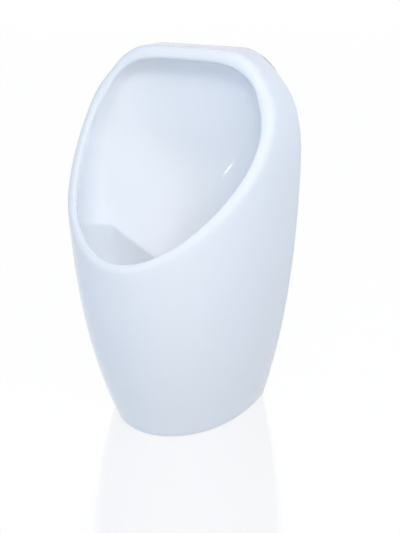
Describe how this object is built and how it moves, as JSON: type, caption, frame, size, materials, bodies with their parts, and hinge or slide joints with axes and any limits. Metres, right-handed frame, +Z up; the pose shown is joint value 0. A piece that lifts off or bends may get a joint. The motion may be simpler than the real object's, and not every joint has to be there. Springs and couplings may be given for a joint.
{
  "type": "wall hung urinal",
  "caption": "Wall hung waterless urinal: scooped egg-shaped china bowl with a lift-out float trap, rear outlet pipe and hidden wall hooks.",
  "frame": {"origin": "where the waste outlet's axis meets the wall plane, 95 mm above the china's base", "axes": "+X to the right of someone facing the bowl, +Y into the wall along the waste outlet, +Z up"},
  "size_m": [0.3614, 0.342, 0.62],
  "materials": {
    "china": "glazed vitreous china, cool white",
    "housing_plastic": "moulded polypropylene",
    "pipe_plastic": "grey waste pipe plastic",
    "cartridge_plastic": "moulded polypropylene",
    "float_plastic": "foamed closed-cell plastic",
    "seal_rubber": "black EPDM",
    "strainer_steel": "brushed stainless steel",
    "zinc_steel": "zinc plated",
    "plug_nylon": "grey nylon",
    "bush_nylon": "white nylon"
  },
  "bodies": {
    "fixture": {"bowl_body": "china", "trap_housing": "housing_plastic", "housing_upper_gasket": "seal_rubber", "housing_lower_gasket": "seal_rubber", "housing_locknut": "housing_plastic", "outlet_pipe": "pipe_plastic", "outlet_cone_seal": "seal_rubber", "outlet_coupling_nut": "pipe_plastic", "hanger_bracket_left": "zinc_steel", "hanger_bracket_right": "zinc_steel", "hanger_pads": "seal_rubber", "hanger_screws": "zinc_steel", "hanger_washers": "zinc_steel", "hanger_plugs": "plug_nylon", "lug_screws": "zinc_steel", "lug_bushes": "bush_nylon", "lug_plugs": "plug_nylon"},
    "cartridge": {"cartridge_cup": "cartridge_plastic", "cartridge_cover": "cartridge_plastic", "trap_bell": "cartridge_plastic", "cartridge_o_rings": "seal_rubber"},
    "float": {"float_ring": "float_plastic", "float_seal": "seal_rubber"},
    "strainer": {"drain_strainer": "strainer_steel"}
  },
  "joints": [
    {"name": "cartridge_lift", "type": "slide", "parent": "fixture", "child": "cartridge", "axis": [0, 0, 1], "range_m": [0, 0.13]},
    {"name": "strainer_lift", "type": "slide", "parent": "cartridge", "child": "strainer", "axis": [0, 0, 1], "range_m": [0, 0.06]},
    {"name": "float_travel", "type": "slide", "parent": "cartridge", "child": "float", "axis": [0, 0, 1], "range_m": [-0.007, 0], "stiffness_N_per_m": 60, "springref_m": 0.012}
  ]
}
